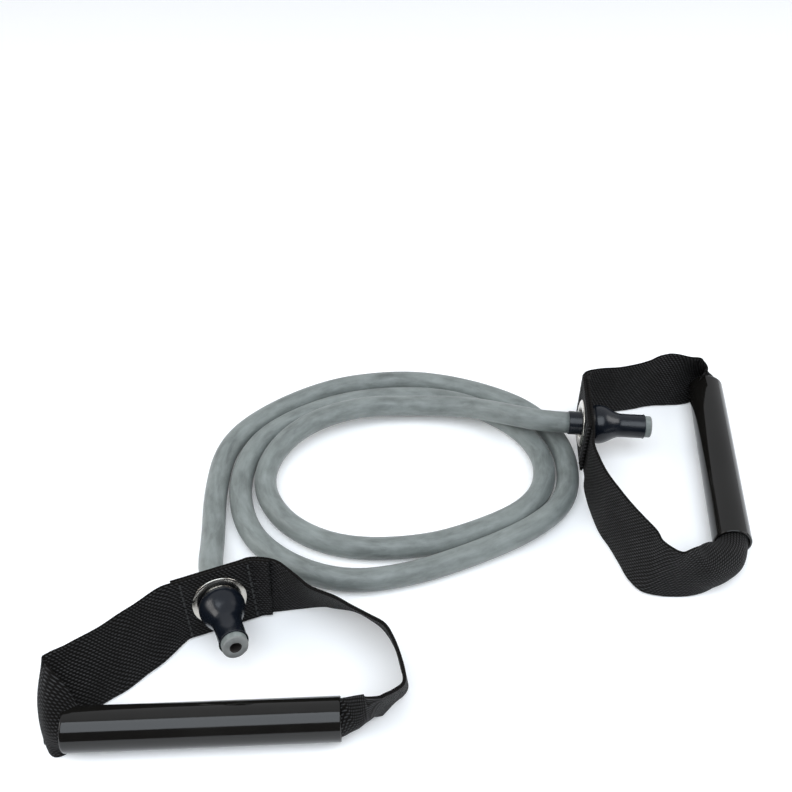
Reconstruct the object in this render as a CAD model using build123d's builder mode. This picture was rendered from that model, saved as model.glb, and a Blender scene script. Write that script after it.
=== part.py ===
from build123d import *
import math
import os

# Tube resistance band lying relaxed on a flat surface, Z up, millimetres.
# One elastic tube lies in about two and a half loose turns. Each of its ends runs
# through an eyelet in a webbing loop, where a plug inside the tube makes a bulge that
# can't pull back through. Each webbing loop passes through a rigid tube grip.
# The origin is on the surface, under the middle of the box round the rigid pieces.

# ---- driving dimensions ----
TUBE_RADIUS = 6.6
TUBE_BORE_RADIUS = 2.6
TIP_RADIUS = 6.4
SLEEVE_RADIUS = 7.15
PLUG_RADIUS = 8.6
PLUG_CLEARANCE = 0.05
WEBBING_WIDTH = 38.0
WEBBING_THICKNESS = 2.0
PANEL_HALF_LENGTH = 20.0
EYELET_RADIUS = 14.3
EYELET_HOLE_RADIUS = 8.9
BARREL_RADIUS = 9.6
FLANGE_THICKNESS = 0.8
FLANGE_BEVEL = 0.5
GRIP_RADIUS = 10.65
GRIP_BORE_RADIUS = 9.0
GRIP_LENGTH = 130.5
GRIP_RIM_FILLET = 0.6
CORE_WIDTH = 16.0
CORE_THICKNESS = 4.4
THREAD_WIDTH = 0.9
THREAD_RISE = 0.4
STITCH_LENGTH = 2.6
STITCH_PITCH = 3.9
STITCHES_IN_SEAM = 9
SEAM_OFFSET = 17.6

# ---- distances along a tube end, from the washer's outer face towards the tip ----
SLEEVE_START = -12.5
PANEL_OUTER_FACE = -FLANGE_THICKNESS
PANEL_MIDDLE = PANEL_OUTER_FACE - WEBBING_THICKNESS
PANEL_INNER_FACE = PANEL_MIDDLE - WEBBING_THICKNESS
FLANGE_BACK = PANEL_INNER_FACE - FLANGE_THICKNESS
BULGE_MIDDLE = 5.6
NECK_START = 21.0
SLEEVE_END = 33.0
TIP_END = 37.0

# ---- bulge over the plug, as (radius, distance along the axis) ----
SLEEVE_SHOULDER = -0.6
SLEEVE_BULGE = [
    (9.9, 0.5),
    (11.5, 2.8),
    (11.9, BULGE_MIDDLE),
    (11.4, 8.6),
    (10.1, 11.6),
    (8.5, 14.6),
    (7.4, 17.6),
]
TUBE_SHOULDER = 0.0
TUBE_BULGE = [
    (9.3, 1.0),
    (10.9, 3.1),
    (11.35, BULGE_MIDDLE),
    (10.85, 8.5),
    (9.55, 11.4),
    (7.95, 14.4),
    (6.85, 17.5),
]


def end_plane(x, y, z, heading, pitch):
    """Plane on a washer's outer face: Z out along the tube end, X level, Y upwards."""
    turn = math.radians(heading)
    climb = math.radians(pitch)
    out = (math.cos(climb) * math.cos(turn), math.cos(climb) * math.sin(turn), math.sin(climb))
    return Plane(origin=(x, y, z), x_dir=(-math.sin(turn), math.cos(turn), 0), z_dir=out)


def grip_plane(x, y, heading):
    """Plane on a grip's first mouth: Z along the grip, X upwards."""
    turn = math.radians(heading)
    along = (math.cos(turn), math.sin(turn), 0)
    return Plane(origin=(x, y, GRIP_RADIUS), x_dir=(0, 0, 1), z_dir=along)


# ---- where the tube ends and the grips lie ----
ENDS = {
    "front": end_plane(-112.9, -56.5, 19.6, heading=-68.5, pitch=14.0),
    "right": end_plane(95.6, 70.9, 24.0, heading=-3.5, pitch=-1.0),
}
GRIPS = {
    "front": grip_plane(-178.4, -123.0, heading=2.5),
    "right": grip_plane(165.4, -11.1, heading=83.4),
}

# ---- route of the free tube, from the front sleeve to the right sleeve ----
LYING = TUBE_RADIUS + 0.1
RUN_SHARE_ROUNDED = 0.45
STRAIGHT_LEAD = 15.5
ROUTE_POINTS = [
    (-125, -5, 7),
    (-129, 31.5, LYING),
    (-126.5, 70, LYING),
    (-104.5, 97.5, LYING),
    (-67, 121.5, LYING),
    (-31.5, 129.5, LYING),
    (1, 129, LYING),
    (39, 116.5, LYING),
    (68, 97, LYING),
    (83, 63, LYING),
    (79.5, 25, 7),
    (56, 1, 8.7),
    (21, -16, 7),
    (-15, -30, LYING),
    (-50, -35, LYING),
    (-83, -23, LYING),
    (-107.5, 1, LYING),
    (-116.5, 39.5, LYING),
    (-107.5, 74.5, LYING),
    (-79, 98.5, LYING),
    (-45, 112, LYING),
    (-4.5, 114.5, LYING),
    (26, 107, LYING),
    (55, 86, LYING),
    (68.5, 60, LYING),
    (66.5, 34.5, LYING),
    (53, 16, LYING),
    (27, 1.5, LYING),
    (-5.5, -10.5, LYING),
    (-49, -12.5, LYING),
    (-81.5, 2, LYING),
    (-100, 28.5, LYING),
    (-100, 55, 8.5),
    (-82, 80, 13),
    (-48, 98, 13),
    (-10, 102, 10.2),
    (24.5, 96, 14.6),
    (50, 80, 22.4),
]

# ---- webbing loops, as sections of the strip in order round each loop ----
# Each section is (x, y, z, lean, width, thickness): the strip's middle, the degrees that
# its upper edge leans to the left of travel, and its size. The strip bunches up narrow
# and thick where it enters the grip.
PANEL_TO_GRIP = {
    "front": [
        (-84.8, -47, 20.2, 8, 38, 4),
        (-73.1, -50, 19.6, -9, 38, 2),
        (-63.2, -52.6, 18.9, -17, 38, 2),
        (-52.7, -55.5, 18.3, -23, 38, 2),
        (-40.4, -62.2, 18.3, -22, 38, 2),
        (-31, -70, 18.7, -16, 38, 2),
        (-24.5, -80.5, 19.1, -8, 38, 2),
        (-20.5, -91, 18.3, 0, 36, 2),
        (-19.5, -100.5, 16.5, 4, 32, 2.4),
        (-24, -108.5, 14.2, 4, 27, 2.8),
        (-32, -113.2, 12, 2, 21, 3.6),
        (-40, -116, 11, 0, 17, 4.2),
    ],
    "right": [
        (93.6, 94.5, 23.4, 0, 38, 3),
        (96, 98.3, 23, 0, 38, 2),
        (100.5, 101.5, 22, 0, 38, 2),
        (108, 104, 20.8, 0, 38, 2),
        (118.1, 106, 19.8, 0, 38, 2),
        (131.5, 110.8, 19.5, 0, 38, 2),
        (140, 114.3, 19.5, 0, 38, 2),
        (146.3, 116, 19.4, 5, 38, 2),
        (153.5, 117, 19.2, 14, 38, 2),
        (161, 118.5, 18.9, 12, 37, 2),
        (168.5, 122, 17.2, 6, 33, 2.4),
        (175, 127, 14.5, 0, 27, 2.8),
        (180.3, 128.7, 12.3, 0, 21, 3.6),
        (182, 124.5, 11, 0, 17, 4.2),
    ],
}
GRIP_TO_PANEL = {
    "front": [
        (-184.4, -122.7, 11, 0, 17, 4.2),
        (-189, -117, 13, 2, 25, 3),
        (-187, -109.5, 16.7, 12, 33, 2.4),
        (-180, -103, 17.5, 24, 37, 2),
        (-170.7, -96.3, 17.1, 31, 38, 2),
        (-161.3, -89.2, 17.7, 28, 38, 2),
        (-152.6, -81, 18, 26, 38, 2),
        (-146.5, -74.9, 18.2, 25, 38, 2),
        (-136.6, -65.6, 19, 18, 38, 4),
    ],
    "right": [
        (163.3, -18.5, 11, 0, 17, 4.2),
        (158, -26.5, 12.2, 0, 22, 3.4),
        (149.5, -31.8, 15.3, 0, 30, 2.6),
        (139, -34, 18.3, 0, 36, 2),
        (129, -35.2, 19.3, 0, 38, 2),
        (120, -34.2, 19.5, 0, 38, 2),
        (113.8, -30.5, 19.5, -6, 38, 2),
        (110, -25.5, 19.2, -13, 38, 2),
        (106.5, -17.8, 19.3, -8, 38, 2),
        (103, -6.8, 19.5, -5, 38, 2),
        (99, 5, 19.5, -2, 38, 2),
        (95.3, 17.4, 19.6, 0, 38, 2),
        (92.9, 28.3, 20, 0, 38, 2),
        (91.6, 39, 21.2, 0, 38, 2),
        (91.6, 46, 22.8, 0, 38, 4),
    ],
}


def through_axis(end):
    """Plane holding a tube end's axis: X is the radius, Y runs out along the axis."""
    return Plane(origin=end.origin, x_dir=end.x_dir, z_dir=-end.y_dir)


def corner_radii(points):
    """Largest easy radius at each corner of the route, from its shorter run and turn."""
    radii = []
    for before, corner, after in zip(points, points[1:], points[2:]):
        arriving = corner - before
        departing = after - corner
        half_turn = math.radians(arriving.get_angle(departing)) / 2
        shorter = min(arriving.length, departing.length)
        radii.append(RUN_SHARE_ROUNDED * shorter / math.tan(half_turn))
    return radii


def strip_planes(stations, first, last):
    """Planes square to a webbing strip, X along its width, with the given end planes."""
    middles = [first.origin] + [Vector(*station[:3]) for station in stations] + [last.origin]
    planes = [first]
    for before, middle, after, station in zip(middles, middles[1:], middles[2:], stations):
        along = (after - before).normalized()
        left = Vector(0, 0, 1).cross(along).normalized()
        lean = math.radians(station[3])
        upwards = Vector(0, 0, 1) * math.cos(lean) + left * math.sin(lean)
        across = upwards - along * upwards.dot(along)
        planes.append(Plane(origin=middle, x_dir=across, z_dir=along))
    return planes + [last]


def panel_edge(end, side):
    """Plane on the flat panel's edge at the given side, facing round the loop."""
    edge_middle = end.from_local_coords((side * PANEL_HALF_LENGTH, 0, PANEL_MIDDLE))
    return Plane(origin=edge_middle, x_dir=end.y_dir, z_dir=end.x_dir)


def grip_mouth(grip, distance):
    """Plane across a grip at a distance along it, facing back to its first mouth."""
    middle = grip.from_local_coords((0, 0, distance))
    return Plane(origin=middle, x_dir=grip.x_dir, z_dir=-grip.z_dir)


os.makedirs("parts", exist_ok=True)

# ---- free tube ----
lead_distances = (SLEEVE_START, SLEEVE_START - STRAIGHT_LEAD)
leaving = [ENDS["front"].from_local_coords((0, 0, distance)) for distance in lead_distances]
arriving = [ENDS["right"].from_local_coords((0, 0, distance)) for distance in lead_distances]
route = leaving + [Vector(*point) for point in ROUTE_POINTS] + arriving[::-1]
route_radii = corner_radii(route)
print("tube corner radii", [round(radius) for radius in route_radii])

with BuildPart() as latex_tube:
    with BuildLine() as tube_path:
        FilletPolyline(*route, radius=route_radii)
    centre_line = tube_path.wire()
    with BuildSketch(Plane(origin=centre_line @ 0, z_dir=centre_line % 0)) as tube_section:
        Circle(TUBE_RADIUS)
        Circle(TUBE_BORE_RADIUS, mode=Mode.SUBTRACT)
    sweep(path=centre_line)
expected_volume = tube_section.sketch.area * centre_line.length
print("tube length", round(centre_line.length, 1))
print("tube volume / section x length", round(latex_tube.part.volume / expected_volume, 4))
latex_tube.part.label = "latex_tube"
export_step(latex_tube.part, "parts/latex_tube.step")

# ---- the pieces on each end of the tube, turned about its axis ----
for name, end in ENDS.items():
    profile_plane = through_axis(end)
    axis = Axis(end.origin, end.z_dir)

    with BuildPart() as stopper:
        with BuildSketch(profile_plane):
            with BuildLine():
                radius = PLUG_RADIUS - PLUG_CLEARANCE
                CenterArc((0, BULGE_MIDDLE), radius, -90, 180)
                Line((0, BULGE_MIDDLE + radius), (0, BULGE_MIDDLE - radius))
            make_face()
        revolve(axis=axis)
    stopper.part.label = f"stopper_{name}"
    export_step(stopper.part, f"parts/stopper_{name}.step")

    with BuildPart() as tube_end:
        with BuildSketch(profile_plane):
            with BuildLine():
                Polyline(
                    TUBE_BULGE[-1],
                    (TUBE_RADIUS, NECK_START),
                    (TUBE_RADIUS, SLEEVE_END),
                    (TIP_RADIUS, SLEEVE_END),
                    (TIP_RADIUS, TIP_END),
                    (TUBE_BORE_RADIUS, TIP_END),
                    (TUBE_BORE_RADIUS, SLEEVE_START),
                    (TUBE_RADIUS, SLEEVE_START),
                    (TUBE_RADIUS, TUBE_SHOULDER),
                    TUBE_BULGE[0],
                )
                Spline(*TUBE_BULGE)
            make_face()
        revolve(axis=axis)
        with BuildSketch(profile_plane):
            with BuildLine():
                CenterArc((0, BULGE_MIDDLE), PLUG_RADIUS, -90, 180)
                Line((0, BULGE_MIDDLE + PLUG_RADIUS), (0, BULGE_MIDDLE - PLUG_RADIUS))
            make_face()
        revolve(axis=axis, mode=Mode.SUBTRACT)
    tube_end.part.label = f"tube_end_{name}"
    export_step(tube_end.part, f"parts/tube_end_{name}.step")

    with BuildPart() as sleeve:
        with BuildSketch(profile_plane):
            with BuildLine():
                Spline(*SLEEVE_BULGE)
                Polyline(
                    SLEEVE_BULGE[-1],
                    (SLEEVE_RADIUS, NECK_START),
                    (SLEEVE_RADIUS, SLEEVE_END),
                    (TUBE_RADIUS, SLEEVE_END),
                    (TUBE_RADIUS, NECK_START),
                    TUBE_BULGE[-1],
                )
                Spline(*TUBE_BULGE)
                Polyline(
                    TUBE_BULGE[0],
                    (TUBE_RADIUS, TUBE_SHOULDER),
                    (TUBE_RADIUS, SLEEVE_START),
                    (SLEEVE_RADIUS, SLEEVE_START),
                    (SLEEVE_RADIUS, SLEEVE_SHOULDER),
                    SLEEVE_BULGE[0],
                )
            make_face()
        revolve(axis=axis)
    sleeve.part.label = f"sleeve_{name}"
    export_step(sleeve.part, f"parts/sleeve_{name}.step")

    with BuildPart() as eyelet:
        with BuildSketch(profile_plane):
            with BuildLine():
                Polyline(
                    (EYELET_HOLE_RADIUS, FLANGE_BACK + FLANGE_BEVEL),
                    (EYELET_HOLE_RADIUS + FLANGE_BEVEL, FLANGE_BACK),
                    (EYELET_RADIUS - FLANGE_BEVEL, FLANGE_BACK),
                    (EYELET_RADIUS, FLANGE_BACK + FLANGE_BEVEL),
                    (EYELET_RADIUS, PANEL_INNER_FACE),
                    (BARREL_RADIUS, PANEL_INNER_FACE),
                    (BARREL_RADIUS, 0),
                    (EYELET_HOLE_RADIUS, 0),
                    close=True,
                )
            make_face()
        revolve(axis=axis)
    eyelet.part.label = f"eyelet_{name}"
    export_step(eyelet.part, f"parts/eyelet_{name}.step")

    with BuildPart() as washer:
        with BuildSketch(profile_plane):
            with BuildLine():
                Polyline(
                    (BARREL_RADIUS, PANEL_OUTER_FACE),
                    (EYELET_RADIUS, PANEL_OUTER_FACE),
                    (EYELET_RADIUS, -FLANGE_BEVEL),
                    (EYELET_RADIUS - FLANGE_BEVEL, 0),
                    (BARREL_RADIUS, 0),
                    close=True,
                )
            make_face()
        revolve(axis=axis)
    washer.part.label = f"washer_{name}"
    export_step(washer.part, f"parts/washer_{name}.step")

# ---- webbing loops: flat doubled panel, two arms, and the bunched strip in the grip ----
for name, end in ENDS.items():
    grip = GRIPS[name]
    core_size = (CORE_WIDTH, CORE_THICKNESS)
    panel_size = (WEBBING_WIDTH, 2 * WEBBING_THICKNESS)
    far_mouth = grip_mouth(grip, GRIP_LENGTH)
    near_mouth = grip_mouth(grip, 0)
    outward_planes = strip_planes(PANEL_TO_GRIP[name], panel_edge(end, 1), far_mouth)
    outward_sizes = [panel_size] + [station[4:] for station in PANEL_TO_GRIP[name]] + [core_size]
    homeward_planes = strip_planes(GRIP_TO_PANEL[name], near_mouth, panel_edge(end, -1))
    homeward_sizes = [core_size] + [station[4:] for station in GRIP_TO_PANEL[name]] + [panel_size]

    with BuildPart() as strap:
        with BuildSketch(end.offset(PANEL_MIDDLE)):
            Rectangle(2 * PANEL_HALF_LENGTH, WEBBING_WIDTH)
            Circle(BARREL_RADIUS, mode=Mode.SUBTRACT)
        extrude(amount=WEBBING_THICKNESS, both=True)
        with BuildSketch(grip):
            Rectangle(*core_size)
        extrude(amount=GRIP_LENGTH)
        for planes, sizes in ((outward_planes, outward_sizes), (homeward_planes, homeward_sizes)):
            for plane, size in zip(planes, sizes):
                with BuildSketch(plane):
                    Rectangle(*size)
            loft(ruled=True)
    strap.part.label = f"strap_{name}"
    export_step(strap.part, f"parts/strap_{name}.step")

    with BuildPart() as grip_tube:
        with BuildSketch(grip):
            Circle(GRIP_RADIUS)
            Circle(GRIP_BORE_RADIUS, mode=Mode.SUBTRACT)
        extrude(amount=GRIP_LENGTH)
        fillet(grip_tube.edges().filter_by(GeomType.CIRCLE), radius=GRIP_RIM_FILLET)
    grip_tube.part.label = f"grip_{name}"
    export_step(grip_tube.part, f"parts/grip_{name}.step")

    with BuildPart() as stitching:
        for face, rise in ((PANEL_OUTER_FACE, 1), (PANEL_INNER_FACE, -1)):
            with BuildSketch(end.offset(face)):
                with GridLocations(2 * SEAM_OFFSET, STITCH_PITCH, 2, STITCHES_IN_SEAM):
                    Rectangle(THREAD_WIDTH, STITCH_LENGTH)
            extrude(amount=rise * THREAD_RISE)
    stitching.part.label = f"stitching_{name}"
    export_step(stitching.part, f"parts/stitching_{name}.step")
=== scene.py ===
import math

import bpy
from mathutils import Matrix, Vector


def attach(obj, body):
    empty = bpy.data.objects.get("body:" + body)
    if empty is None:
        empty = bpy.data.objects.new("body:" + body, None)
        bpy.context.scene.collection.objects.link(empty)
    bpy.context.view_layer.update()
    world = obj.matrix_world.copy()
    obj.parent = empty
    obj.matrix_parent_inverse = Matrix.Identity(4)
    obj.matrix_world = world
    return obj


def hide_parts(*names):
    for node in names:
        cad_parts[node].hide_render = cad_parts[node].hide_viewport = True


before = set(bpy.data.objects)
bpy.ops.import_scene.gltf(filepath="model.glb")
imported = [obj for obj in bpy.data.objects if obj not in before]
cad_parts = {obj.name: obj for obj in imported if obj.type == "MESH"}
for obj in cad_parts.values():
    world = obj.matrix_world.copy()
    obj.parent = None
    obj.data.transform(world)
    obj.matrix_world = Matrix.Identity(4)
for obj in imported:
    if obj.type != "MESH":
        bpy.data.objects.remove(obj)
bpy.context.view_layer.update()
MM = 0.001

# ---------------------------------------------------------------- the lay, as in part.py


def end_axes(x, y, z, heading, pitch):
    """Origin, level direction, upward direction and outward axis of a tube end."""
    turn = math.radians(heading)
    climb = math.radians(pitch)
    axis = Vector((math.cos(climb) * math.cos(turn), math.cos(climb) * math.sin(turn), math.sin(climb)))
    level = Vector((-math.sin(turn), math.cos(turn), 0))
    return Vector((x, y, z)), level, axis.cross(level), axis


ENDS = {
    "front": end_axes(-112.9, -56.5, 19.6, -68.5, 14.0),
    "right": end_axes(95.6, 70.9, 24.0, -3.5, -1.0),
}
GRIP_RADIUS = 10.65
GRIP_LENGTH = 130.5
GRIPS = {
    "front": (Vector((-178.4, -123.0, GRIP_RADIUS)), math.radians(2.5)),
    "right": (Vector((165.4, -11.1, GRIP_RADIUS)), math.radians(83.4)),
}


def on_end(end, u, v, a):
    """Point at u level, v up and a outwards from a tube end's washer face, in mm."""
    origin, level, up, axis = end
    return origin + level * u + up * v + axis * a


# ---------------------------------------------------------------- mesh helpers


def new_object(name, vertices, faces, uvs=None, smooth=True):
    """Mesh object from points in mm, with one UV pair in metres for each face corner."""
    mesh = bpy.data.meshes.new(name)
    mesh.from_pydata([tuple(c * MM for c in v) for v in vertices], [], faces)
    if uvs:
        layer = mesh.uv_layers.new(name="UVMap")
        flat = [c for face in uvs for pair in face for c in pair]
        layer.data.foreach_set("uv", flat)
    mesh.validate()
    mesh.update()
    if smooth:
        mesh.shade_smooth()
    obj = bpy.data.objects.new(name, mesh)
    bpy.context.scene.collection.objects.link(obj)
    return obj


def tube_mesh(name, rings, along):
    """Skin over rings of points of equal count, closed at both ends."""
    count = len(rings[0])
    vertices = [p for ring in rings for p in ring]
    faces = []
    uvs = []
    for i in range(len(rings) - 1):
        for j in range(count):
            k = (j + 1) % count
            faces.append((i * count + j, i * count + k, (i + 1) * count + k, (i + 1) * count + j))
            u0, u1 = along[i] * MM, along[i + 1] * MM
            v0, v1 = j / count, (j + 1) / count
            uvs.append(((u0, v0), (u0, v1), (u1, v1), (u1, v0)))
    for ring, flip in ((0, True), (len(rings) - 1, False)):
        order = [ring * count + j for j in range(count)]
        faces.append(tuple(reversed(order)) if flip else tuple(order))
        uvs.append(tuple((0.0, 0.0) for _ in order))
    return new_object(name, vertices, faces, uvs)


def lathe(name, frame_of, profile, segments=72, wobble=None):
    """Solid of revolution: profile is a closed loop of (radius, along) in mm.

    wobble gives an extra radius from (radius, along, angle)."""
    origin, level, up, axis = frame_of
    vertices = []
    count = len(profile)
    for s in range(segments):
        angle = 2 * math.pi * s / segments
        out = level * math.cos(angle) + up * math.sin(angle)
        for radius, along in profile:
            extra = wobble(radius, along, angle) if wobble else 0.0
            vertices.append(origin + out * (radius + extra) + axis * along)
    faces = []
    uvs = []
    for s in range(segments):
        t = (s + 1) % segments
        for i in range(count):
            j = (i + 1) % count
            faces.append((s * count + i, t * count + i, t * count + j, s * count + j))
            uvs.append(
                (
                    (profile[i][1] * MM, s / segments),
                    (profile[i][1] * MM, (s + 1) / segments),
                    (profile[j][1] * MM, (s + 1) / segments),
                    (profile[j][1] * MM, s / segments),
                )
            )
    return new_object(name, vertices, faces, uvs)


def spline_through(points, step):
    """Points every step or so along a centripetal curve through points of any length."""
    n = len(points)
    size = len(points[0])

    def at(i):
        if i < 0:
            return [2 * points[0][c] - points[1][c] for c in range(size)]
        if i >= n:
            return [2 * points[-1][c] - points[-2][c] for c in range(size)]
        return points[i]

    result = []
    for i in range(n - 1):
        p0, p1, p2, p3 = at(i - 1), at(i), at(i + 1), at(i + 2)

        def gap(a, b):
            return max(1e-6, math.dist(a[:3], b[:3]) ** 0.5)

        t1 = gap(p0, p1)
        t2 = t1 + gap(p1, p2)
        t3 = t2 + gap(p2, p3)
        pieces = max(1, round(math.dist(p1[:3], p2[:3]) / step))
        for k in range(pieces):
            t = t1 + (t2 - t1) * k / pieces
            value = []
            for c in range(size):
                a1 = p0[c] + (p1[c] - p0[c]) * t / t1
                a2 = p1[c] + (p2[c] - p1[c]) * (t - t1) / (t2 - t1)
                a3 = p2[c] + (p3[c] - p2[c]) * (t - t2) / (t3 - t2)
                b1 = a1 + (a2 - a1) * t / t2
                b2 = a2 + (a3 - a2) * (t - t1) / (t3 - t1)
                value.append(b1 + (b2 - b1) * (t - t1) / (t2 - t1))
            result.append(value)
    result.append(list(points[-1]))
    return result


# ---------------------------------------------------------------- materials


class Nodes:
    """Short calls for building a material's nodes."""

    def __init__(self, name):
        self.material = bpy.data.materials.new(name)
        self.material.use_nodes = True
        self.tree = self.material.node_tree
        self.tree.nodes.clear()
        self.out = self.tree.nodes.new("ShaderNodeOutputMaterial")
        self.shader = self.tree.nodes.new("ShaderNodeBsdfPrincipled")
        self.link(self.shader.outputs[0], self.out.inputs[0])

    def link(self, source, target):
        self.tree.links.new(source, target)

    def put(self, target, value):
        if hasattr(value, "is_output"):
            self.link(value, target)
        else:
            target.default_value = value

    def node(self, kind, **settings):
        made = self.tree.nodes.new(kind)
        for key, value in settings.items():
            setattr(made, key, value)
        return made

    def coords(self, which):
        return self.node("ShaderNodeTexCoord").outputs[which]

    def math(self, operation, a, b=0.0, c=0.0):
        made = self.node("ShaderNodeMath", operation=operation)
        self.put(made.inputs[0], a)
        self.put(made.inputs[1], b)
        self.put(made.inputs[2], c)
        return made.outputs[0]

    def dome(self, value):
        """1 at zero, falling to 0 at plus or minus a half, as a parabola."""
        doubled = self.math("ABSOLUTE", self.math("MULTIPLY", value, 2.0))
        return self.math("SUBTRACT", 1.0, self.math("POWER", doubled, 2.0))

    def scaled(self, vector, scale):
        made = self.node("ShaderNodeMapping")
        self.put(made.inputs["Vector"], vector)
        made.inputs["Scale"].default_value = scale
        return made.outputs[0]

    def noise(self, vector, scale, detail=4.0, roughness=0.55, distortion=0.0):
        made = self.node("ShaderNodeTexNoise")
        self.put(made.inputs["Vector"], vector)
        made.inputs["Scale"].default_value = scale
        made.inputs["Detail"].default_value = detail
        made.inputs["Roughness"].default_value = roughness
        made.inputs["Distortion"].default_value = distortion
        return made.outputs["Fac"]

    def ramp(self, value, low, high, to_low=0.0, to_high=1.0):
        made = self.node("ShaderNodeMapRange")
        made.clamp = True
        self.put(made.inputs["Value"], value)
        for index, number in enumerate((low, high, to_low, to_high)):
            made.inputs[index + 1].default_value = number
        return made.outputs[0]

    def mix(self, factor, a, b):
        made = self.node("ShaderNodeMix", data_type="RGBA")
        self.put(made.inputs["Factor"], factor)
        for socket, value in ((made.inputs[6], a), (made.inputs[7], b)):
            if isinstance(value, tuple):
                value = (*value, 1.0)
            self.put(socket, value)
        return made.outputs[2]

    def bump(self, height, distance, strength=1.0, onto=None):
        made = self.node("ShaderNodeBump")
        made.inputs["Strength"].default_value = strength
        made.inputs["Distance"].default_value = distance
        self.put(made.inputs["Height"], height)
        if onto is not None:
            self.link(onto, made.inputs["Normal"])
        return made.outputs[0]

    def set(self, **values):
        for key, value in values.items():
            self.put(self.shader.inputs[key.replace("_", " ")], value)
        return self.material


def tube_material(name, dark, light, scuff):
    """Matte latex: a dusty bloom in long streaks, pale scuffs and fine pores."""
    n = Nodes(name)
    uv = n.coords("UV")
    at = n.coords("Object")
    streaks = n.noise(n.scaled(uv, (22.0, 3.2, 1.0)), 3.0, 6.0, 0.62, 0.3)
    cloud = n.noise(at, 38.0, 4.0, 0.6)
    tone = n.mix(n.ramp(streaks, 0.33, 0.72), dark, light)
    tone = n.mix(n.ramp(cloud, 0.35, 0.75, 0.0, 0.45), tone, (0.28, 0.31, 0.295))
    specks = n.noise(n.scaled(uv, (160.0, 14.0, 1.0)), 3.0, 3.0, 0.7)
    marks = n.ramp(specks, 0.66, 0.80, 0.0, 0.55)
    tone = n.mix(marks, tone, scuff)
    pores = n.noise(at, 900.0, 3.0, 0.6)
    normal = n.bump(pores, 0.00012, 0.55)
    normal = n.bump(streaks, 0.0003, 0.35, normal)
    rough = n.ramp(cloud, 0.3, 0.8, 0.42, 0.62)
    return n.set(Base_Color=tone, Roughness=rough, Normal=normal, Specular_IOR_Level=0.42,
                 Sheen_Weight=0.12, Sheen_Roughness=0.5)


def bore_shade_material():
    """The tube's inside wall, painted near-black as painted shade in the bore."""
    n = Nodes("bore_rubber_painted_shade")
    at = n.coords("Object")
    grain = n.noise(at, 500.0, 3.0)
    tone = n.mix(grain, (0.008, 0.006, 0.005), (0.025, 0.020, 0.016))
    return n.set(Base_Color=tone, Roughness=0.8, Normal=n.bump(grain, 0.0001, 0.4))


def cut_rubber_material():
    """The freshly cut end face: finer and a little paler than the skin, with saw rings."""
    n = Nodes("cut_rubber")
    at = n.coords("Object")
    fine = n.noise(at, 700.0, 5.0, 0.7)
    broad = n.noise(at, 130.0, 3.0)
    tone = n.mix(n.ramp(broad, 0.3, 0.7), (0.15, 0.155, 0.148), (0.25, 0.255, 0.245))
    tone = n.mix(n.ramp(fine, 0.62, 0.8, 0.0, 0.5), tone, (0.45, 0.46, 0.44))
    return n.set(Base_Color=tone, Roughness=0.6, Normal=n.bump(fine, 0.0002, 0.6))


def sleeve_material():
    """Glossy blue-black rubber drawn tight, with faint drag lines along it."""
    n = Nodes("sleeve_rubber")
    at = n.coords("Object")
    uv = n.coords("UV")
    drag = n.noise(n.scaled(uv, (30.0, 26.0, 1.0)), 2.0, 3.0)
    dust = n.noise(at, 260.0, 5.0, 0.7)
    smudge = n.noise(at, 60.0, 3.0)
    tone = n.mix(n.ramp(dust, 0.62, 0.8, 0.0, 0.35), (0.004, 0.006, 0.010), (0.03, 0.036, 0.045))
    rough = n.ramp(smudge, 0.3, 0.75, 0.20, 0.32)
    normal = n.bump(drag, 0.0002, 0.25)
    return n.set(Base_Color=tone, Roughness=rough, Normal=normal, Specular_IOR_Level=0.4)


def metal_material():
    """Bright nickel plate with fine turning marks and finger haze."""
    n = Nodes("eyelet_nickel")
    at = n.coords("Object")
    haze = n.noise(at, 180.0, 4.0, 0.6)
    fine = n.noise(at, 1500.0, 2.0)
    tone = n.mix(haze, (0.46, 0.43, 0.38), (0.62, 0.60, 0.56))
    rough = n.ramp(haze, 0.3, 0.75, 0.16, 0.30)
    return n.set(Base_Color=tone, Metallic=1.0, Roughness=rough, Normal=n.bump(fine, 0.00003, 0.3))


def grip_material():
    """Smooth black plastic with a dry haze, hairline scratches along it and small pits."""
    n = Nodes("grip_plastic")
    at = n.coords("Object")
    uv = n.coords("UV")
    haze = n.noise(at, 22.0, 5.0, 0.6)
    scratches = n.noise(n.scaled(uv, (18.0, 60.0, 1.0)), 4.0, 2.0, 0.5)
    wave = n.noise(at, 30.0, 2.0)
    grain = n.noise(at, 1400.0, 2.0)
    pits = n.node("ShaderNodeTexVoronoi")
    n.put(pits.inputs["Vector"], at)
    pits.inputs["Scale"].default_value = 26.0
    pit = n.ramp(pits.outputs["Distance"], 0.020, 0.040, 0.0, 1.0)
    tone = n.mix(n.ramp(haze, 0.3, 0.75), (0.0045, 0.004, 0.0035), (0.009, 0.0085, 0.0075))
    rough = n.ramp(haze, 0.25, 0.8, 0.07, 0.15)
    rough = n.math("ADD", rough, n.ramp(scratches, 0.66, 0.8, 0.0, 0.12))
    normal = n.bump(pit, 0.0004, 0.6)
    normal = n.bump(wave, 0.0004, 0.12, normal)
    normal = n.bump(grain, 0.00002, 0.4, normal)
    return n.set(Base_Color=tone, Roughness=rough, Normal=normal, Specular_IOR_Level=0.4)


STITCH_ALONG = 2.1
STITCH_ACROSS = 1.45


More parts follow.
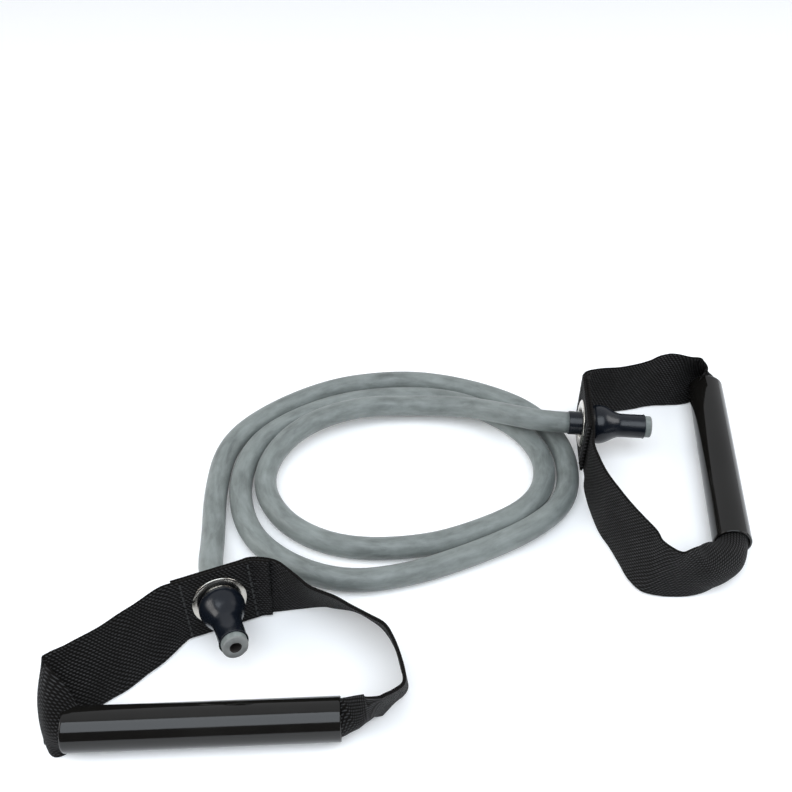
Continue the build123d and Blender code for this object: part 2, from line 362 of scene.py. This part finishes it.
def webbing_material():
    """Black webbing: ribs across the strip, each a row of slanting stitches, their crowns painted lighter
    as a painted highlight and the hollows between them painted near-black as painted shade.
    """
    n = Nodes("webbing_weave")
    uv = n.node("ShaderNodeSeparateXYZ")
    n.put(uv.inputs[0], n.coords("UV"))
    along = n.math("MULTIPLY", uv.outputs[0], 1 / (STITCH_ALONG * MM))
    across = n.math("MULTIPLY", uv.outputs[1], 1 / (STITCH_ACROSS * MM))
    column = n.math("FLOOR", across)
    odd = n.math("MODULO", n.math("ABSOLUTE", column), 2.0)
    across_local = n.math("SUBTRACT", n.math("FRACT", across), 0.5)
    slant = n.math("MULTIPLY", across_local, 0.55)
    shifted = n.math("ADD", n.math("ADD", along, n.math("MULTIPLY", odd, 0.5)), slant)
    along_local = n.math("SUBTRACT", n.math("FRACT", shifted), 0.5)
    cap = n.math("MULTIPLY", n.dome(along_local), n.dome(across_local))
    yarn = n.noise(n.scaled(n.coords("UV"), (2600.0, 900.0, 1.0)), 1.0, 3.0, 0.6)
    wear_and_highlight = n.noise(n.coords("Object"), 55.0, 4.0, 0.6)
    fuzz = n.noise(n.coords("Object"), 1100.0, 3.0, 0.7)
    # Painted highlight and painted shade: the stitch crowns get the lit colour, made patchy by the wear
    # noise, and the hollows between them get the near-black dark colour.
    painted_highlight_mask = n.ramp(cap, 0.5, 0.9)
    dark = n.mix(fuzz, (0.0016, 0.0012, 0.0009), (0.0045, 0.0036, 0.0028))
    crown_painted_highlight = n.mix(n.ramp(wear_and_highlight, 0.3, 0.75), (0.035, 0.035, 0.036), (0.085, 0.085, 0.087))
    tone = n.mix(n.math("MULTIPLY", painted_highlight_mask, n.ramp(yarn, 0.25, 0.7, 0.35, 1.0)), dark, crown_painted_highlight)
    normal = n.bump(cap, 0.0007, 0.9)
    normal = n.bump(yarn, 0.00015, 0.5, normal)
    return n.set(Base_Color=tone, Roughness=0.62, Normal=normal, Specular_IOR_Level=0.08,
                 Sheen_Weight=0.02, Sheen_Roughness=0.5)


def thread_material(name, low, high):
    """Dull twisted thread with a fuzz of two tones."""
    n = Nodes(name)
    fuzz = n.noise(n.coords("Object"), 1500.0, 4.0, 0.7)
    tone = n.mix(fuzz, low, high)
    return n.set(Base_Color=tone, Roughness=0.8, Normal=n.bump(fuzz, 0.0002, 0.7), Sheen_Weight=0.2)


TUBE = tube_material("tube_latex", (0.100, 0.112, 0.106), (0.215, 0.238, 0.228), (0.41, 0.43, 0.42))
BORE_SHADE = bore_shade_material()
CUT = cut_rubber_material()
SLEEVE = sleeve_material()
METAL = metal_material()
GRIP = grip_material()
WEBBING = webbing_material()
THREAD = thread_material("seam_thread", (0.006, 0.006, 0.006), (0.03, 0.03, 0.03))


def paint(obj, *materials):
    """Give an object these materials in order."""
    obj.data.materials.clear()
    for material in materials:
        obj.data.materials.append(material)


# ---------------------------------------------------------------- the free tube

TUBE_RADIUS = 6.55
LYING = 6.7
ROUTE = [
    (-125, -5, 7), (-129, 31.5, LYING), (-126.5, 70, LYING), (-104.5, 97.5, LYING),
    (-67, 121.5, LYING), (-31.5, 129.5, LYING), (1, 129, LYING), (39, 116.5, LYING),
    (68, 97, LYING), (83, 63, LYING), (79.5, 25, 7), (56, 1, 8.7), (21, -16, 7),
    (-15, -30, LYING), (-50, -35, LYING), (-83, -23, LYING), (-107.5, 1, LYING),
    (-116.5, 39.5, LYING), (-107.5, 74.5, LYING), (-79, 98.5, LYING), (-45, 112, LYING),
    (-4.5, 114.5, LYING), (26, 107, LYING), (55, 86, LYING), (68.5, 60, LYING),
    (66.5, 34.5, LYING), (53, 16, LYING), (27, 1.5, LYING), (-5.5, -10.5, LYING),
    (-49, -12.5, LYING), (-81.5, 2, LYING), (-100, 28.5, LYING), (-100, 55, 8.5),
    (-82, 80, 13), (-48, 98, 13), (-10, 102, 10.2), (24.5, 96, 14.6), (50, 80, 22.4),
]
SLEEVE_START = -12.5
LEAD = 15.5
front, right = ENDS["front"], ENDS["right"]
route = [on_end(front, 0, 0, SLEEVE_START), on_end(front, 0, 0, SLEEVE_START - LEAD)]
route += [Vector(p) for p in ROUTE]
route += [on_end(right, 0, 0, SLEEVE_START - LEAD), on_end(right, 0, 0, SLEEVE_START)]

guide = bpy.data.curves.new("tube_guide", "CURVE")
guide.dimensions = "3D"
spline = guide.splines.new("NURBS")
spline.points.add(len(route) - 1)
for slot, point in zip(spline.points, route):
    slot.co = (*(point * MM), 1.0)
spline.order_u = 3
spline.use_endpoint_u = True
spline.resolution_u = 10
guide_object = bpy.data.objects.new("tube_guide", guide)
bpy.context.scene.collection.objects.link(guide_object)
bpy.context.view_layer.update()
line_mesh = bpy.data.meshes.new_from_object(guide_object)
line = [v.co / MM for v in line_mesh.vertices]
bpy.data.objects.remove(guide_object)


def rings_along(points, radius, segments, squash_of):
    """Rings square to a line of points, carried along it without twist."""
    rings = []
    distances = [0.0]
    for a, b in zip(points, points[1:]):
        distances.append(distances[-1] + (b - a).length)
    side = None
    for i, point in enumerate(points):
        ahead = points[min(i + 1, len(points) - 1)] - points[max(i - 1, 0)]
        ahead.normalize()
        if side is None:
            side = Vector((0, 0, 1)).cross(ahead).normalized()
        side = (side - ahead * side.dot(ahead)).normalized()
        over = ahead.cross(side)
        swell = squash_of(distances[i])
        ring = []
        for j in range(segments):
            angle = 2 * math.pi * j / segments
            ring.append(
                point
                + side * (radius * (1 + swell)) * math.cos(angle)
                + over * (radius * (1 - swell)) * math.sin(angle)
            )
        rings.append(ring)
    return rings, distances


def flattening(distance):
    """Slow uneven flattening of the soft tube."""
    return 0.010 + 0.012 * math.sin(distance / 47.0) + 0.006 * math.sin(distance / 19.0 + 1.0)


tube_rings, tube_distances = rings_along(line, TUBE_RADIUS, 36, flattening)
band_tube = tube_mesh("band_tube", tube_rings, tube_distances)
paint(band_tube, TUBE)
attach(band_tube, "tube")
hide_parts("latex_tube")

# ---------------------------------------------------------------- tube ends


SLEEVE_BULGE = [(9.9, 0.5), (11.5, 2.8), (11.9, 5.6), (11.4, 8.6), (10.1, 11.6), (8.5, 14.6), (7.4, 17.6)]


def smooth_bulge():
    """The sleeve's outline over the plug, as a smooth curve down to the neck."""
    flat = [(r, a, 0.0) for r, a in [(9.4, 0.15)] + SLEEVE_BULGE + [(7.18, 21.0), (7.15, 25.0)]]
    return [(p[0], p[1]) for p in spline_through(flat, 0.6)]


def build_end(name):
    """One tube end: its sleeve, its cut tip, and the eyelet and washer on it."""
    build_sleeve(name)
    build_tip(name)
    build_eyelet(name)


def build_sleeve(name):
    """Tight glossy sleeve that swells over the plug."""
    outer = [
        (6.62, SLEEVE_START), (7.05, SLEEVE_START), (7.15, SLEEVE_START + 0.3), (7.15, -1.2),
        (7.4, -0.75), (8.6, -0.05),
    ]
    outer += smooth_bulge()
    outer += [(7.15, 32.0), (7.35, 32.35), (7.42, 32.75), (7.25, 33.0), (6.62, 33.0)]
    outer += [(6.62, 20.0), (6.62, -11.0)]

    def crease(radius, along, angle):
        """Soft drag ripples where the sleeve necks down, and a slightly uneven bulb."""
        if radius < 6.8:
            return 0.0
        neck = math.exp(-(((along - 18.0) / 5.0) ** 2))
        ball = math.exp(-(((along - 6.0) / 6.0) ** 2))
        return -0.10 * neck * (0.5 + 0.5 * math.sin(7 * angle + 0.6)) - 0.08 * ball * (
            0.5 + 0.5 * math.sin(2 * angle + 0.9)
        )

    sleeve = lathe(f"sleeve_skin_{name}", ENDS[name], outer, 96, crease)
    paint(sleeve, SLEEVE)
    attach(sleeve, "tube")
    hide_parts(f"sleeve_{name}")


def build_tip(name):
    """Cut end of the tube past the sleeve, with its bore painted near-black as painted shade."""
    end = ENDS[name]
    tip = [
        (2.6, 20.0), (6.5, 20.0), (6.5, 28.0), (6.5, 34.0), (6.5, 36.2), (6.35, 36.75), (6.0, 37.0),
        (3.0, 37.0), (2.7, 36.85), (2.6, 36.5), (2.6, 34.0), (2.6, 28.0),
    ]

    def rough_cut(radius, along, angle):
        """The end face isn't quite flat or round."""
        if along < 36.0:
            return 0.0
        return 0.05 * math.sin(3 * angle + 1.0) + 0.03 * math.sin(8 * angle)

    stub = lathe(f"tube_tip_{name}", end, tip, 96, rough_cut)
    paint(stub, TUBE, CUT, BORE_SHADE)
    for polygon in stub.data.polygons:
        centre = polygon.center / MM - end[0]
        along = centre.dot(end[3])
        radius = (centre - end[3] * along).length
        # Bore faces take the near-black painted shade.
        if radius < 3.0:
            polygon.material_index = 2
        elif along > 36.3:
            polygon.material_index = 1
    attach(stub, "tube")
    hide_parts(f"tube_end_{name}")


def build_eyelet(name):
    """Flanged eyelet from behind the panel and the washer on its front."""
    end = ENDS[name]
    back = [(8.9, 0.0), (8.9, -4.6), (9.2, -5.25), (9.9, -5.6), (11.2, -5.75), (12.8, -5.6), (13.9, -5.3),
            (14.35, -5.0), (14.3, -4.82), (9.6, -4.82), (9.6, 0.0), (9.45, 0.12), (9.1, 0.12)]
    ring = lathe(f"eyelet_ring_{name}", end, back, 96)
    paint(ring, METAL)
    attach(ring, f"loop_{name}")
    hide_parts(f"eyelet_{name}")

    face = [(9.66, -0.78), (14.3, -0.78), (14.38, -0.5), (14.1, -0.22), (13.2, 0.08), (12.0, 0.18),
            (10.8, 0.10), (10.0, -0.10), (9.66, -0.3)]
    plate = lathe(f"washer_plate_{name}", end, face, 96)
    paint(plate, METAL)
    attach(plate, f"loop_{name}")
    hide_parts(f"washer_{name}")


for side_name in ENDS:
    build_end(side_name)

# ---------------------------------------------------------------- grips


def build_grip(name):
    """Hollow hand grip with rounded mouths."""
    start, heading = GRIPS[name]
    along = Vector((math.cos(heading), math.sin(heading), 0))
    level = Vector((-math.sin(heading), math.cos(heading), 0))
    frame_of = (start, level, along.cross(level), along)
    length = GRIP_LENGTH
    outer = GRIP_RADIUS
    inner = 9.0
    profile = [
        (inner, 0.7), (inner + 0.2, 0.2), (inner + 0.55, 0.0), (outer - 0.5, 0.0), (outer - 0.15, 0.16),
        (outer, 0.6), (outer, 1.4), (outer, 20.0), (outer, 45.0), (outer, 70.0), (outer, 100.0),
        (outer, length - 1.4), (outer, length - 0.6), (outer - 0.15, length - 0.16), (outer - 0.5, length),
        (inner + 0.55, length), (inner + 0.2, length - 0.2), (inner, length - 0.7), (inner, length - 8.0),
        (inner, 90.0), (inner, 45.0), (inner, 8.0),
    ]
    grip = lathe(f"grip_shell_{name}", frame_of, profile, 128)
    paint(grip, GRIP)
    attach(grip, f"handgrip_{name}")
    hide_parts(f"grip_{name}")


for side_name in GRIPS:
    build_grip(side_name)

# ---------------------------------------------------------------- webbing
# Each station is (x, y, z, curl, lean) or (x, y, z, curl, across x, across y, across z): the
# strip's middle in mm, how tightly it curls towards the right of travel, in 1/mm, and
# either the degrees that its upper edge leans to the left of travel, or the step from its
# lower to its upper edge as a share of its width, where a fold slants across it.

WEB = 38.0
HALF_THICKNESS = 0.85
BORE_CURL = 1 / 7.6
LAYER = 2.0
HOLE_RADIUS = 9.3
OVERLAP_START = 41.7
OVERLAP_END = 51.5


def in_grip(name, distance, tilt):
    """Station inside a grip: the strip lies against the bore, its middle at tilt."""
    start, heading = GRIPS[name]
    along = Vector((math.cos(heading), math.sin(heading), 0))
    level = Vector((-math.sin(heading), math.cos(heading), 0))
    away = -level
    lift = math.radians(tilt)
    outwards = away * math.cos(lift) + Vector((0, 0, 1)) * math.sin(lift)
    middle = start + along * distance + outwards / BORE_CURL
    across = Vector((0, 0, 1)) * math.cos(lift) - away * math.sin(lift)
    return (*middle, BORE_CURL, *across)


def on_panel(name, u, a):
    """Station in the flat panel that holds the eyelet."""
    end = ENDS[name]
    return (*on_end(end, u, 0, a), 0.0, *end[2])


STATIONS = {
    "front": [on_panel("front", u, -3.8) for u in (-21.7, -14, -7, 0, 7, 14, 20)]
    + [
        (-85, -47, 20, 0, 8), (-73, -50, 19.5, 0, -9), (-63, -53, 19, 0, -22),
        (-54, -56, 18.5, 0, 0.05, -0.5, 0.95), (-44, -60, 18.5, 0, 0, -0.6, 0.95),
        (-35, -65.5, 18.5, 0, 0, -0.6, 0.95), (-28, -71, 18.5, 0, 0, -0.55, 0.95),
        (-23, -80, 18.5, 0, -0.05, -0.45, 0.95), (-19.5, -92, 18.5, 0, -0.05, -0.35, 0.95),
        (-17.5, -101, 18.5, 0, -0.05, -0.35, 0.95), (-18.5, -106, 18.5, 0, 0, -0.4, 0.95),
        (-23, -110, 18.5, 0, 0, -0.4, 0.95), (-29, -115, 18, 0, 0, -0.3, 0.95),
        (-34, -119, 14.5, 0.035, 0, -0.3, 0.95), (-39, -120, 9, 0.08, 0, -0.35, 0.95),
        (-43, -122, 9, 0.115, 0, -0.25, 0.95),
        in_grip("front", 130, -10), in_grip("front", 122, -8), in_grip("front", 100, 0),
        in_grip("front", 65, 6), in_grip("front", 30, 10), in_grip("front", 8, 18),
        in_grip("front", 0.5, 20), (-182, -127.5, 15.5, 0.09, 0.05, 0.55, 0.8),
        (-187, -121, 18, 0.03, 0, 0.7, 0.9), (-191.5, -112, 18, 0.02, 0, 0.7, 0.9),
        (-188, -109.5, 18, 0.01, 0, 0.7, 0.9), (-180, -103.5, 17.5, 0, -0.1, 0.55, 0.9),
        (-171, -96, 17.5, 0, -0.3, 0.35, 0.9), (-161.5, -89, 17.5, 0, 28),
        (-153, -81, 18, 0, 26), (-146.5, -75, 18, 0, 25), (-136, -64.5, 19, 0, 19),
    ]
    + [on_panel("front", u, -1.8) for u in (-19, -14, -7, 0, 7, 14, 20)],
    "right": [on_panel("right", u, -3.8) for u in (-21.7, -14, -7, 0, 7, 14, 20)]
    + [
        (93.5, 94.5, 23.5, 0, 0), (96, 98.5, 23, 0, 0), (100.5, 101.5, 22, 0, 0), (108, 104, 21, 0, 0),
        (118, 106, 20, 0, 0), (131.5, 109.5, 19.5, 0, 2), (140, 112.5, 19.5, 0, 4),
        (146.5, 115, 19.5, 0, 9), (154.5, 117, 19, 0, -0.05, 0.25, 0.95),
        (165, 122, 17, 0.035, -0.05, 0.15, 1), (172.5, 126.5, 15.5, 0.055, 0, 0.1, 1),
        (181, 127.5, 14, 0.09, -0.1, 0, 1), (186.5, 123.5, 13.5, 0.12, -0.4, 0, 0.9),
        in_grip("right", 130, 38), in_grip("right", 122, 39), in_grip("right", 100, 42),
        in_grip("right", 65, 44), in_grip("right", 30, 44), in_grip("right", 8, 44),
        in_grip("right", 0.5, 44), (165.5, -24, 16.5, 0.095, -0.55, 0.3, 0.75),
        (157, -32.5, 17.5, 0.07, -0.5, 0.2, 0.85), (146.5, -38.5, 18, 0.045, -0.4, 0.1, 0.9),
        (136, -39, 19, 0.01, -0.25, 0.05, 0.95), (128, -39, 19, 0, -0.1, 0, 1),
        (121, -37.5, 19.5, 0, -4), (114.5, -33.5, 19.5, 0, -12),
        (111, -26.5, 19.5, 0, -17), (107, -17, 19.5, 0, -13), (102.5, -6, 19.5, 0, -9),
        (98, 5, 19.5, 0, -8), (94.5, 17.5, 19.5, 0, -4), (92.5, 28.5, 20, 0, -2), (91.5, 39, 21, 0, 0),
        (92.5, 45.5, 22.5, 0, 0),
    ]
    + [on_panel("right", u, -1.8) for u in (-19, -14, -7, 0, 7, 14, 20)],
}


def with_across(stations):
    """The stations, each lean worked out as a step from lower to upper edge."""
    result = []
    for i, station in enumerate(stations):
        if len(station) == 5:
            before = stations[max(i - 1, 0)]
            after = stations[min(i + 1, len(stations) - 1)]
            left = Vector((before[1] - after[1], after[0] - before[0], 0)).normalized()
            lean = math.radians(station[4])
            across = Vector((0, 0, 1)) * math.cos(lean) + left * math.sin(lean)
            station = (*station[:4], *across)
        result.append(station)
    return result


def strip_frames(stations, step):
    """Middle, width and normal directions and curl at each section of a strip."""
    samples = spline_through(with_across(stations), step)
    middles = [Vector(s[:3]) for s in samples]
    frames = []
    for i, sample in enumerate(samples):
        ahead = middles[min(i + 1, len(middles) - 1)] - middles[max(i - 1, 0)]
        across = Vector(sample[4:7])
        normal = across.cross(Vector((ahead.x, ahead.y, 0))).normalized()
        frames.append((middles[i], across, normal, max(0.0, sample[3]), ahead.normalized()))
    return frames


SECTION_STEP = 1.0
ACROSS = 26
EDGE = 3
FLOOR_CLEARANCE = 0.15


def section(frame_of):
    """Closed outline of the strip's section: outer face, edge, inner face, edge."""
    middle, across, normal, curl, ahead = frame_of

    def place(s, h):
        """Point at s along the width and h out on the left face."""
        if curl < 1e-4:
            return middle + across * s + normal * h
        angle = s * curl
        level = middle + across * (math.sin(angle) / curl) - normal * ((1 - math.cos(angle)) / curl)
        return level + (across * math.sin(angle) + normal * math.cos(angle)) * h

    half = WEB / 2
    points = []
    marks = []
    for j in range(ACROSS + 1):
        s = -half + 0.5 + (WEB - 1.0) * j / ACROSS
        points.append(place(s, HALF_THICKNESS))
        marks.append(s)
    for j in range(1, EDGE):
        angle = math.pi * j / EDGE
        points.append(place(half - 0.5 + 0.5 * math.sin(angle), HALF_THICKNESS * math.cos(angle)))
        marks.append(half)
    for j in range(ACROSS + 1):
        s = half - 0.5 - (WEB - 1.0) * j / ACROSS
        points.append(place(s, -HALF_THICKNESS))
        marks.append(s)
    for j in range(1, EDGE):
        angle = math.pi * j / EDGE
        points.append(place(-half + 0.5 - 0.5 * math.sin(angle), -HALF_THICKNESS * math.cos(angle)))
        marks.append(-half)
    sunk = max(0.0, FLOOR_CLEARANCE - min(p.z for p in points))
    return [p + Vector((0, 0, sunk)) for p in points], marks


def punch_eyelet_hole(strap, name):
    """Cut the round hole that the eyelet's barrel goes through."""
    centre = 0.01
    core = [(centre, -8.0), (HOLE_RADIUS, -8.0), (HOLE_RADIUS, 3.0), (centre, 3.0)]
    cutter = lathe("hole_cutter", ENDS[name], core, 48)
    cut = strap.modifiers.new("eyelet hole", "BOOLEAN")
    cut.operation = "DIFFERENCE"
    cut.solver = "EXACT"
    cut.object = cutter
    bpy.context.view_layer.update()
    graph = bpy.context.evaluated_depsgraph_get()
    punched = bpy.data.meshes.new_from_object(strap.evaluated_get(graph))
    strap.modifiers.clear()
    strap.data = punched
    bpy.data.objects.remove(cutter)


def build_strap(name):
    """The webbing loop of one handle, with its eyelet hole."""
    frames = strip_frames(STATIONS[name], SECTION_STEP)
    # The last layer runs on over the start of the first, one thickness in front of it.
    distance = 0.0
    tail = []
    for a, b in zip(frames, frames[1:]):
        distance += (b[0] - a[0]).length
        if OVERLAP_START < distance < OVERLAP_END:
            tail.append((b[0] - b[2] * LAYER, b[1], b[2], 0.0, b[4]))
    frames += tail
    rings = []
    marks = None
    for one in frames:
        ring, marks = section(one)
        rings.append(ring)
    lengths = [0.0]
    for a, b in zip(frames, frames[1:]):
        lengths.append(lengths[-1] + (b[0] - a[0]).length)
    count = len(rings[0])
    vertices = [p for ring in rings for p in ring]
    faces = []
    uvs = []
    for i in range(len(rings) - 1):
        for j in range(count):
            k = (j + 1) % count
            faces.append((i * count + j, i * count + k, (i + 1) * count + k, (i + 1) * count + j))
            c, d = marks[j], marks[k]
            a, b = lengths[i], lengths[i + 1]
            near = frames[i][1].dot(frames[i][4])
            far = frames[i + 1][1].dot(frames[i + 1][4])
            corners = ((a + c * near, c), (a + d * near, d), (b + d * far, d), (b + c * far, c))
            uvs.append(tuple((u * MM, v * MM) for u, v in corners))
    for ring, flip in ((0, True), (len(rings) - 1, False)):
        order = [ring * count + j for j in range(count)]
        if flip:
            order.reverse()
        faces.append(tuple(order))
        uvs.append(tuple((lengths[ring] * MM, marks[v % count] * MM) for v in order))
    strap = new_object(f"webbing_{name}", vertices, faces, uvs)
    punch_eyelet_hole(strap, name)
    paint(strap, WEBBING)
    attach(strap, f"loop_{name}")
    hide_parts(f"strap_{name}")
    print(name, "webbing length", round(lengths[-1], 1))


for side_name in ENDS:
    build_strap(side_name)

for side_name in ENDS:
    paint(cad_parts[f"stitching_{side_name}"], THREAD)
    # The stoppers deep in the bore get the same near-black painted shade.
    paint(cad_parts[f"stopper_{side_name}"], BORE_SHADE)

# ---------------------------------------------------------------- floor, lights, camera

FLOOR = 6000
floor_corners = [(-FLOOR, -FLOOR, 0), (FLOOR, -FLOOR, 0), (FLOOR, FLOOR, 0), (-FLOOR, FLOOR, 0)]
floor = new_object("floor", floor_corners, [(0, 1, 2, 3)], None, False)
n = Nodes("floor_white_glowing")
paper = n.noise(n.coords("Object"), 3.0, 2.0)
# The floor also glows faintly: a painted fill light that lifts the shadows around the object and lights it
# from below.
paint(floor, n.set(Base_Color=n.mix(paper, (0.90, 0.90, 0.90), (0.93, 0.93, 0.93)), Roughness=0.9,
                   Emission_Color=(1.0, 1.0, 1.0, 1.0), Emission_Strength=0.15))

world = bpy.data.worlds.new("studio")
bpy.context.scene.world = world
world.use_nodes = True
tree = world.node_tree
tree.nodes.clear()
output = tree.nodes.new("ShaderNodeOutputWorld")
background = tree.nodes.new("ShaderNodeBackground")
tree.links.new(background.outputs[0], output.inputs[0])
where = tree.nodes.new("ShaderNodeTexCoord")
split = tree.nodes.new("ShaderNodeSeparateXYZ")
tree.links.new(where.outputs["Generated"], split.inputs[0])
grade = tree.nodes.new("ShaderNodeMapRange")
grade.interpolation_type = "SMOOTHSTEP"
tree.links.new(split.outputs["Y"], grade.inputs["Value"])
for index, number in enumerate((-0.25, 0.35, 0.0, 1.0)):
    grade.inputs[index + 1].default_value = number
shade = tree.nodes.new("ShaderNodeMix")
shade.data_type = "RGBA"
tree.links.new(grade.outputs[0], shade.inputs["Factor"])
shade.inputs[6].default_value = (0.10, 0.10, 0.11, 1.0)
shade.inputs[7].default_value = (0.95, 0.97, 1.0, 1.0)
tree.links.new(shade.outputs[2], background.inputs[0])
background.inputs[1].default_value = 0.75


def soft_light(name, place, aim, width, height, power, colour):
    """Rectangular area light at a place, turned towards a point."""
    light = bpy.data.lights.new(name, "AREA")
    light.shape = "RECTANGLE"
    light.size = width
    light.size_y = height
    light.energy = power
    light.color = colour
    obj = bpy.data.objects.new(name, light)
    obj.location = place
    obj.rotation_euler = (Vector(aim) - Vector(place)).to_track_quat("-Z", "Y").to_euler()
    bpy.context.scene.collection.objects.link(obj)


# The overhead light is the band that the front grip and the bulbs reflect.
soft_light("overhead", (0.0, -0.55, 1.25), (0.0, -0.05, 0.0), 1.7, 1.2, 22.0, (0.86, 0.93, 1.0))
soft_light("left_fill", (-1.4, -0.2, 0.9), (0, 0, 0), 0.8, 0.8, 9.0, (1.0, 0.98, 0.95))
soft_light("right_fill", (1.4, 0.1, 0.8), (0, 0, 0), 0.7, 0.8, 7.0, (1.0, 1.0, 1.0))

camera_data = bpy.data.cameras.new("camera")
camera = bpy.data.objects.new("camera", camera_data)
bpy.context.scene.collection.objects.link(camera)
camera.location = (-0.022, -0.356, 0.438)
camera.rotation_euler = (math.radians(47.5), 0.0, 0.0)
camera_data.sensor_width = 36.0
camera_data.lens = 44.318
camera_data.clip_start = 0.01
bpy.context.scene.camera = camera
bpy.context.scene.view_settings.view_transform = "Standard"
bpy.context.scene.view_settings.look = "None"
